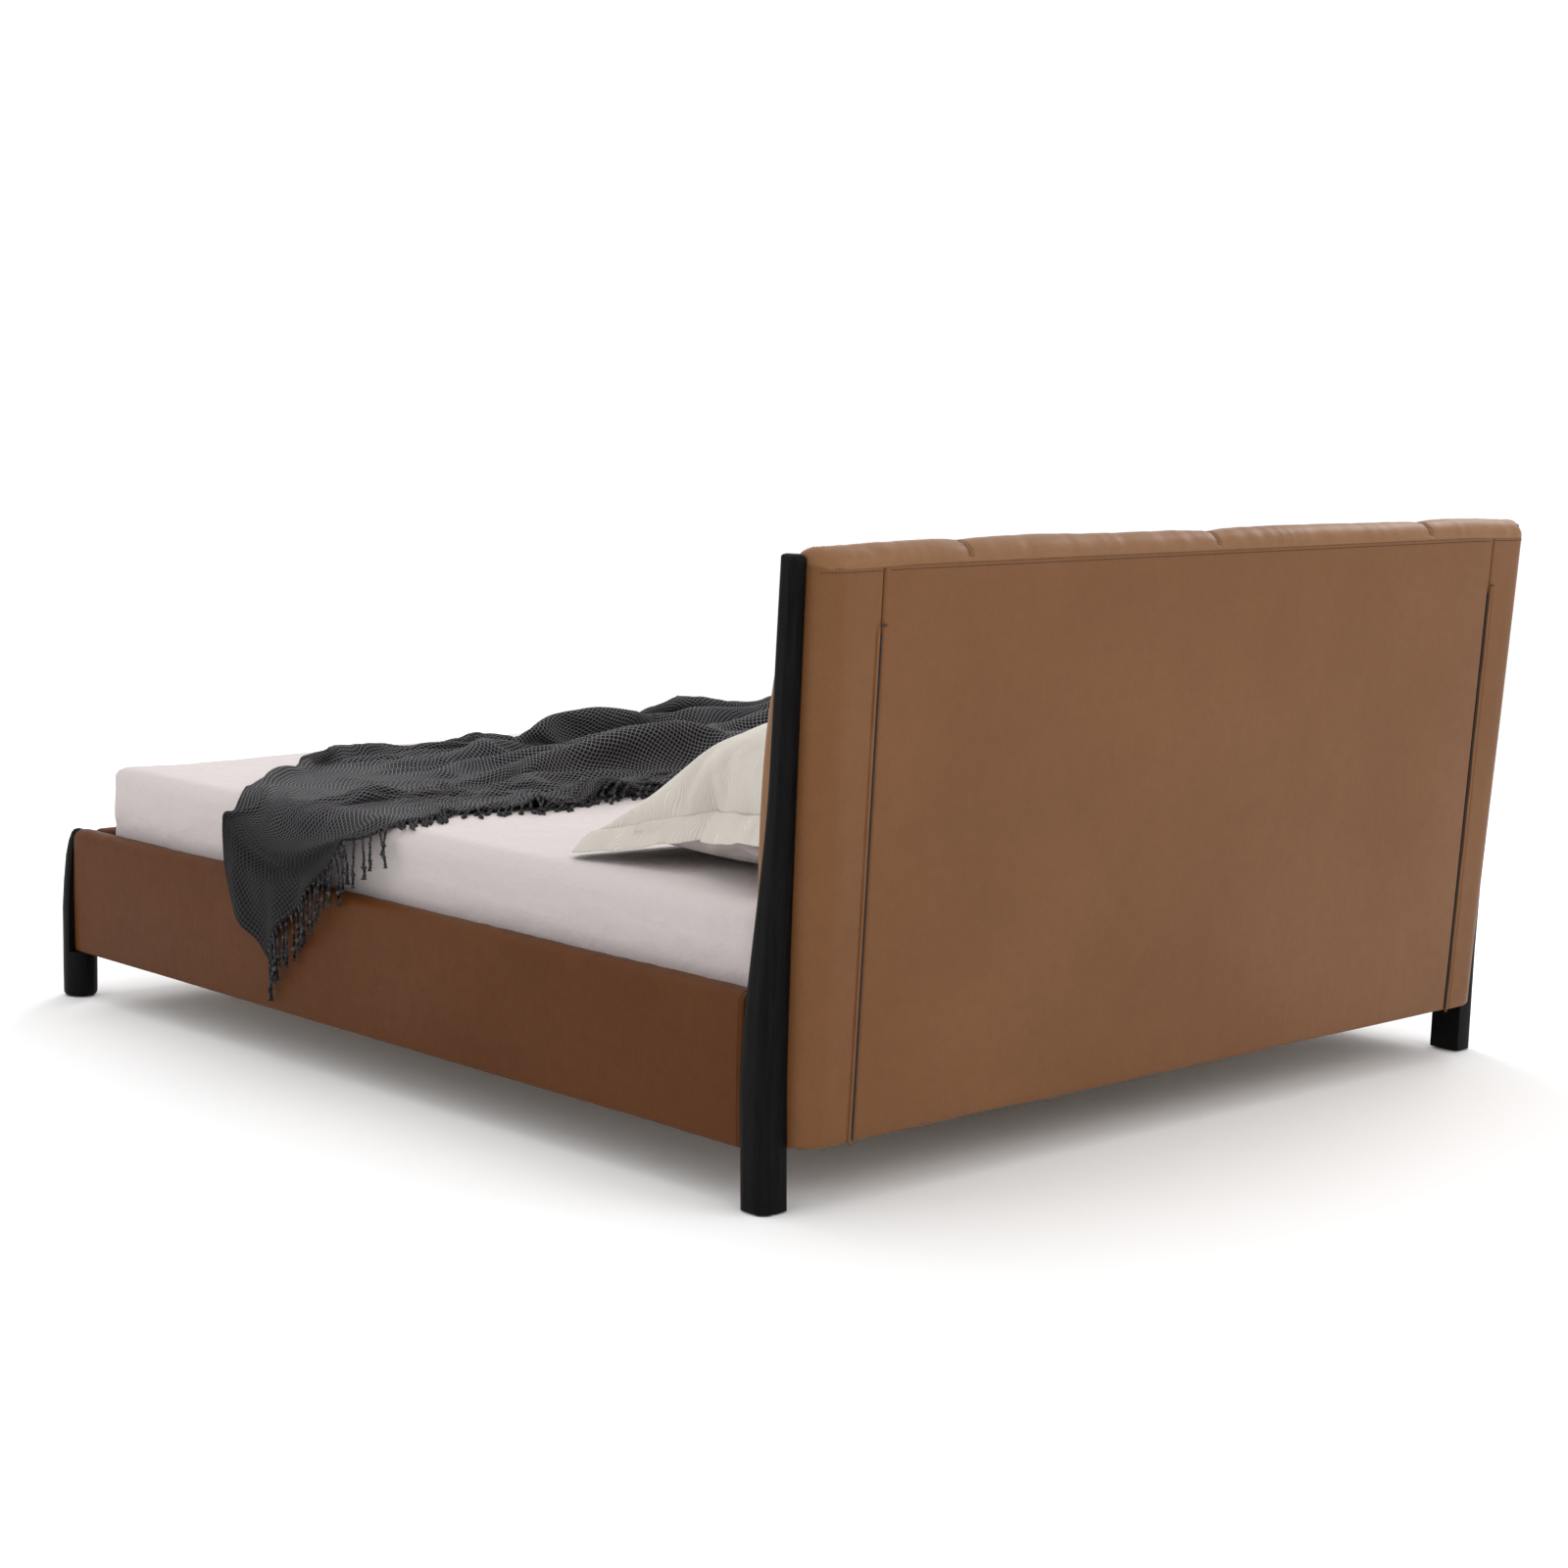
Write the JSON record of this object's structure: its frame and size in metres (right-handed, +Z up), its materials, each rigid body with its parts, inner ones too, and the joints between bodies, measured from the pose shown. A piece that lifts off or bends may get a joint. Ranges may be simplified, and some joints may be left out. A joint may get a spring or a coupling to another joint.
{
  "type": "upholstered bed",
  "caption": "Double bed with a reclined leather headboard swept between two dark tapered posts, low leather rails, slats, mattress, pillows and a throw.",
  "frame": {"origin": "the middle of the floor under the bed: the centre of its bounding box's bottom face", "axes": "+Y from the foot of the bed to its headboard, +Z up, +X to the right side as seen from the foot; the throw hangs over the +X rail"},
  "size_m": [1.9542, 2.277, 1.071],
  "materials": {
    "ebony_wood": "satin",
    "crown_leather": "satin",
    "back_leather": "satin",
    "rail_leather": "satin",
    "pine": "matte",
    "beech": "matte",
    "plywood": "matte",
    "black_steel": "satin",
    "zinc": "satin",
    "nylon": "matte",
    "zip_tape": "matte",
    "mattress_ticking": "matte",
    "white_cotton": "matte",
    "cream_cotton": "matte",
    "grey_wool": "matte"
  },
  "bodies": {
    "bed_frame": {"rear_post_left": "ebony_wood", "rear_post_right": "ebony_wood", "foot_post_left": "ebony_wood", "foot_post_right": "ebony_wood", "glide_rear_left": "nylon", "glide_rear_right": "nylon", "glide_foot_left": "nylon", "glide_foot_right": "nylon", "headboard_frame_top_rail": "pine", "headboard_frame_bottom_rail": "pine", "headboard_frame_stile_left": "pine", "headboard_frame_stile_right": "pine", "slat_ledger_left": "pine", "slat_ledger_right": "pine", "centre_beam": "pine", "centre_leg_1": "pine", "centre_leg_2": "pine", "corner_block_left": "pine", "corner_block_right": "pine", "headboard_panel": "plywood", "side_rail_core_left": "plywood", "side_rail_core_right": "plywood", "foot_rail_core": "plywood", "headboard_front_pad": "crown_leather", "headboard_back_pad": "back_leather", "headboard_side_pad_left": "back_leather", "headboard_side_pad_right": "back_leather", "headboard_zip_left": "zip_tape", "headboard_zip_right": "zip_tape", "side_rail_cover_left": "rail_leather", "side_rail_cover_right": "rail_leather", "foot_rail_cover": "rail_leather", "slat_01": "beech", "slat_02": "beech", "slat_03": "beech", "slat_04": "beech", "slat_05": "beech", "slat_06": "beech", "slat_07": "beech", "slat_08": "beech", "slat_09": "beech", "slat_10": "beech", "slat_11": "beech", "slat_12": "beech", "slat_13": "beech", "beam_hanger_head": "black_steel", "beam_hanger_foot": "black_steel", "rail_hook_plate_left": "zinc", "rail_hook_plate_right": "zinc"},
    "mattress_set": {"mattress": "mattress_ticking", "fitted_sheet": "white_cotton"},
    "throw_piece": {"throw": "grey_wool"},
    "pillow_lower_left_piece": {"pillow_lower_left": "white_cotton"},
    "pillow_lower_right_piece": {"pillow_lower_right": "white_cotton"},
    "pillow_upper_left_piece": {"pillow_upper_left": "cream_cotton"},
    "pillow_upper_right_piece": {"pillow_upper_right": "cream_cotton"},
    "levelling_foot_1_piece": {"levelling_foot_1": "nylon"},
    "levelling_foot_2_piece": {"levelling_foot_2": "nylon"}
  },
  "joints": [
    {"name": "mattress_lift", "type": "slide", "parent": "bed_frame", "child": "mattress_set", "axis": [0, 0, 1], "range_m": [0, 0.35]},
    {"name": "throw_lift", "type": "slide", "parent": "mattress_set", "child": "throw_piece", "axis": [0, 0, 1], "range_m": [0, 0.3]},
    {"name": "pillow_lower_left_lift", "type": "slide", "parent": "mattress_set", "child": "pillow_lower_left_piece", "axis": [0, 0, 1], "range_m": [0, 0.25]},
    {"name": "pillow_lower_right_lift", "type": "slide", "parent": "mattress_set", "child": "pillow_lower_right_piece", "axis": [0, 0, 1], "range_m": [0, 0.25]},
    {"name": "pillow_upper_left_lift", "type": "slide", "parent": "pillow_lower_left_piece", "child": "pillow_upper_left_piece", "axis": [0, 0, 1], "range_m": [0, 0.25]},
    {"name": "pillow_upper_right_lift", "type": "slide", "parent": "pillow_lower_right_piece", "child": "pillow_upper_right_piece", "axis": [0, 0, 1], "range_m": [0, 0.25]},
    {"name": "levelling_foot_1_turn_out", "type": "slide", "parent": "bed_frame", "child": "levelling_foot_1_piece", "axis": [0, 0, -1], "range_m": [-0.008, 0.012]},
    {"name": "levelling_foot_2_turn_out", "type": "slide", "parent": "bed_frame", "child": "levelling_foot_2_piece", "axis": [0, 0, -1], "range_m": [-0.008, 0.012]}
  ]
}
